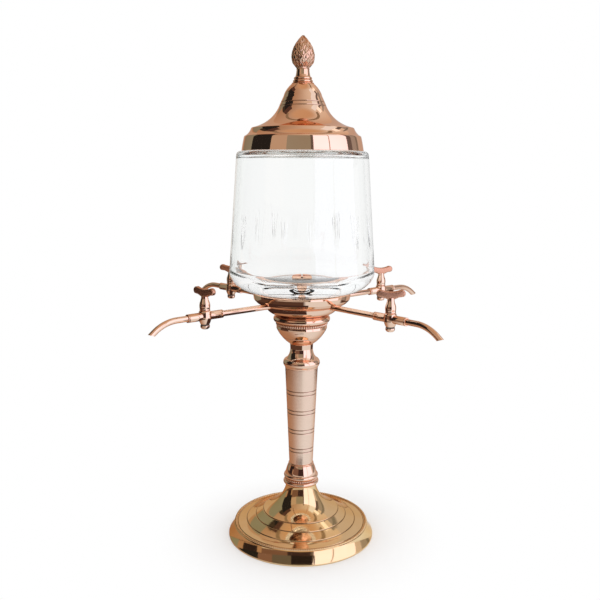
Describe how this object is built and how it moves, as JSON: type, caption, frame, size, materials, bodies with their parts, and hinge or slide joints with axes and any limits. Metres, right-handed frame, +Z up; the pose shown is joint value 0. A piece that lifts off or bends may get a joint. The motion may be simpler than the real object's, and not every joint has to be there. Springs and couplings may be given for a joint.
{
  "type": "absinthe fountain",
  "caption": "Table fountain for dripping iced water: a glass reservoir with a domed lid on a turned copper column, with arms that end in plug taps and bent spouts",
  "frame": {"origin": "on the column's axis, at the level of the surface that the foot stands on", "axes": "+Z up along the column, -Y towards the viewer of the picture"},
  "size_m": [0.289, 0.289, 0.55],
  "materials": {
    "copper": "polished",
    "gilt": "polished",
    "steel": "plain",
    "rubber": "moulded",
    "glass": "clear"
  },
  "bodies": {
    "stand": {"foot": "gilt", "tie_rod": "steel", "rod_washer": "steel", "rod_nut": "steel", "collar": "copper", "stem": "copper", "knop": "copper", "bowl": "copper", "water_block": "copper", "cup": "copper", "cup_gasket": "rubber", "drain_stud": "copper", "drain_washer": "rubber", "reservoir": "glass", "arm_pipe_front_left": "copper", "arm_pipe_front_right": "copper", "arm_pipe_rear_right": "copper", "arm_pipe_rear_left": "copper", "tap_body_front_left": "copper", "tap_body_front_right": "copper", "tap_body_rear_right": "copper", "tap_body_rear_left": "copper", "spout_front_left": "copper", "spout_front_right": "copper", "spout_rear_right": "copper", "spout_rear_left": "copper"},
    "lid": {"lid": "copper", "finial": "copper", "finial_washer": "steel", "finial_nut": "steel"},
    "key_front_left": {"tap_key_front_left": "copper", "tap_washer_front_left": "rubber", "tap_nut_front_left": "copper"},
    "key_front_right": {"tap_key_front_right": "copper", "tap_washer_front_right": "rubber", "tap_nut_front_right": "copper"},
    "key_rear_right": {"tap_key_rear_right": "copper", "tap_washer_rear_right": "rubber", "tap_nut_rear_right": "copper"},
    "key_rear_left": {"tap_key_rear_left": "copper", "tap_washer_rear_left": "rubber", "tap_nut_rear_left": "copper"}
  },
  "joints": [
    {"name": "lid_lift", "type": "slide", "parent": "stand", "child": "lid", "axis": [0, 0, 1], "range_m": [0, 0.05]},
    {"name": "turn_front_left", "type": "hinge", "parent": "stand", "child": "key_front_left", "pos_m": [-0.09587, -0.08632, 0.2692], "axis": [0, 0, 1], "continuous": true},
    {"name": "turn_front_right", "type": "hinge", "parent": "stand", "child": "key_front_right", "pos_m": [0.08632, -0.09587, 0.2692], "axis": [0, 0, 1], "continuous": true},
    {"name": "turn_rear_right", "type": "hinge", "parent": "stand", "child": "key_rear_right", "pos_m": [0.09587, 0.08632, 0.2692], "axis": [0, 0, 1], "continuous": true},
    {"name": "turn_rear_left", "type": "hinge", "parent": "stand", "child": "key_rear_left", "pos_m": [-0.08632, 0.09587, 0.2692], "axis": [0, 0, 1], "continuous": true}
  ]
}
